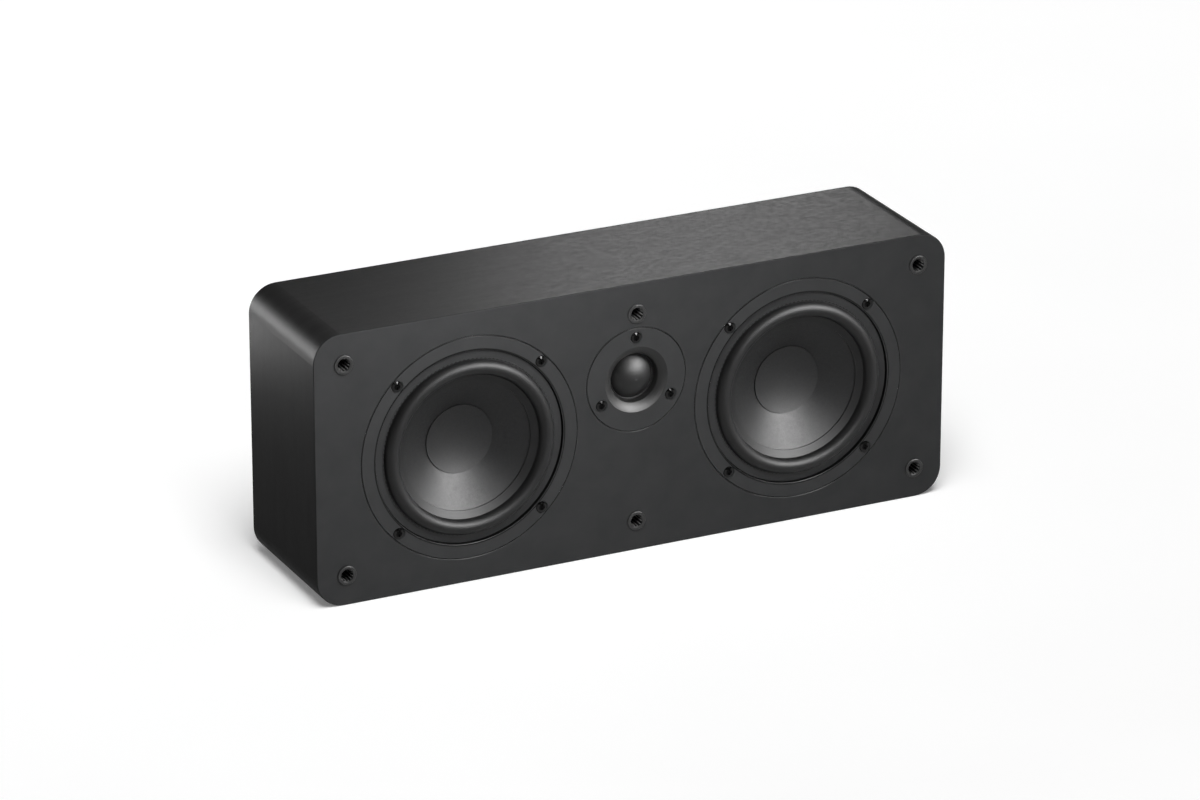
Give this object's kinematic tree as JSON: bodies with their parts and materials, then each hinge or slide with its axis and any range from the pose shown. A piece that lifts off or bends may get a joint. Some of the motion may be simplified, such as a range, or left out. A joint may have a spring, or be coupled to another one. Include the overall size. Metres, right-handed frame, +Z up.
{
  "type": "wall_speaker",
  "caption": "Flat wall speaker laid sideways as a centre channel: black box with round corners, dark grey front, a woofer at either side of a soft-dome tweeter, grille off",
  "frame": {"origin": "middle of the underside", "axes": "X right, Y from front to back, Z up"},
  "size_m": [0.41, 0.0996, 0.168],
  "materials": {
    "foil_black": "satin fine-grained foil",
    "baffle_grey": "satin fine-textured paint",
    "panel_black": "matte",
    "frame_grey": "satin fine texture",
    "surround_rubber": "satin",
    "cone_fibre": "satin fibrous",
    "dome_cloth": "satin coated cloth",
    "spider_cloth": "matte",
    "tinsel_braid": "satin",
    "coil_copper": "satin enamel",
    "plate_steel": "satin",
    "magnet_ferrite": "matte",
    "neodymium_plated": "gloss",
    "terminal_board": "matte",
    "gasket_foam": "matte",
    "socket_black": "satin",
    "screw_black": "gloss",
    "wadding_white": "matte",
    "cup_black": "satin",
    "post_metal": "gloss",
    "cap_red": "gloss",
    "cap_black": "gloss",
    "hanger_steel": "satin",
    "bumper_rubber": "matte",
    "board_green": "satin",
    "standoff_nylon": "satin",
    "capacitor_film": "gloss",
    "resistor_ceramic": "matte",
    "wire_jacket": "satin"
  },
  "bodies": {
    "cabinet": {"cabinet_sleeve": "foil_black", "crossover_board": "board_green", "crossover_standoffs": "standoff_nylon", "damping_wadding": "wadding_white", "driver_screws": "screw_black", "front_baffle": "baffle_grey", "grille_socket_lower_left": "socket_black", "grille_socket_lower_middle": "socket_black", "grille_socket_lower_right": "socket_black", "grille_socket_upper_left": "socket_black", "grille_socket_upper_middle": "socket_black", "grille_socket_upper_right": "socket_black", "internal_wiring": "wire_jacket", "post_nuts": "post_metal", "post_stud_black": "post_metal", "post_stud_red": "post_metal", "rear_panel": "panel_black", "terminal_cup": "cup_black", "terminal_cup_screws": "screw_black", "tweeter_capacitor": "capacitor_film", "tweeter_faceplate": "frame_grey", "tweeter_gasket": "gasket_foam", "tweeter_magnet": "neodymium_plated", "tweeter_pole_plate": "plate_steel", "tweeter_pot": "plate_steel", "tweeter_resistor": "resistor_ceramic", "tweeter_terminal_board": "terminal_board", "wall_bumpers": "bumper_rubber", "wall_hanger_left": "hanger_steel", "wall_hanger_right": "hanger_steel", "wall_hanger_screws": "screw_black", "woofer_inductor": "coil_copper", "woofer_left_basket": "frame_grey", "woofer_left_gasket": "gasket_foam", "woofer_left_magnet": "magnet_ferrite", "woofer_left_spider": "spider_cloth", "woofer_left_surround": "surround_rubber", "woofer_left_terminal_strip": "terminal_board", "woofer_left_tinsel_leads": "tinsel_braid", "woofer_left_top_plate": "plate_steel", "woofer_left_yoke": "plate_steel", "woofer_right_basket": "frame_grey", "woofer_right_gasket": "gasket_foam", "woofer_right_magnet": "magnet_ferrite", "woofer_right_spider": "spider_cloth", "woofer_right_surround": "surround_rubber", "woofer_right_terminal_strip": "terminal_board", "woofer_right_tinsel_leads": "tinsel_braid", "woofer_right_top_plate": "plate_steel", "woofer_right_yoke": "plate_steel"},
    "woofer_left_moving": {"woofer_left_cone": "cone_fibre", "woofer_left_dust_cap": "cone_fibre", "woofer_left_voice_coil": "coil_copper"},
    "woofer_right_moving": {"woofer_right_cone": "cone_fibre", "woofer_right_dust_cap": "cone_fibre", "woofer_right_voice_coil": "coil_copper"},
    "tweeter_moving": {"tweeter_diaphragm": "dome_cloth", "tweeter_voice_coil": "coil_copper"},
    "red_cap": {"post_cap_red": "cap_red"},
    "black_cap": {"post_cap_black": "cap_black"}
  },
  "joints": [
    {"name": "woofer_left_stroke", "type": "slide", "parent": "cabinet", "child": "woofer_left_moving", "axis": [0, -1, 0], "range_m": [-0.004, 0.004], "stiffness_N_per_m": 1000, "deforming": ["woofer_left_surround", "woofer_left_spider", "woofer_left_tinsel_leads"]},
    {"name": "woofer_right_stroke", "type": "slide", "parent": "cabinet", "child": "woofer_right_moving", "axis": [0, -1, 0], "range_m": [-0.004, 0.004], "stiffness_N_per_m": 1000, "deforming": ["woofer_right_surround", "woofer_right_spider", "woofer_right_tinsel_leads"]},
    {"name": "tweeter_stroke", "type": "slide", "parent": "cabinet", "child": "tweeter_moving", "axis": [0, -1, 0], "range_m": [-0.0004, 0.0004], "stiffness_N_per_m": 200, "deforming": ["tweeter_diaphragm"]},
    {"name": "post_cap_red_turn", "type": "hinge", "parent": "cabinet", "child": "red_cap", "pos_m": [0.0095, 0.036, 0.044], "axis": [0, 1, 0], "range_deg": [0, 1080]},
    {"name": "post_cap_black_turn", "type": "hinge", "parent": "cabinet", "child": "black_cap", "pos_m": [-0.0095, 0.036, 0.044], "axis": [0, 1, 0], "range_deg": [0, 1080]}
  ]
}
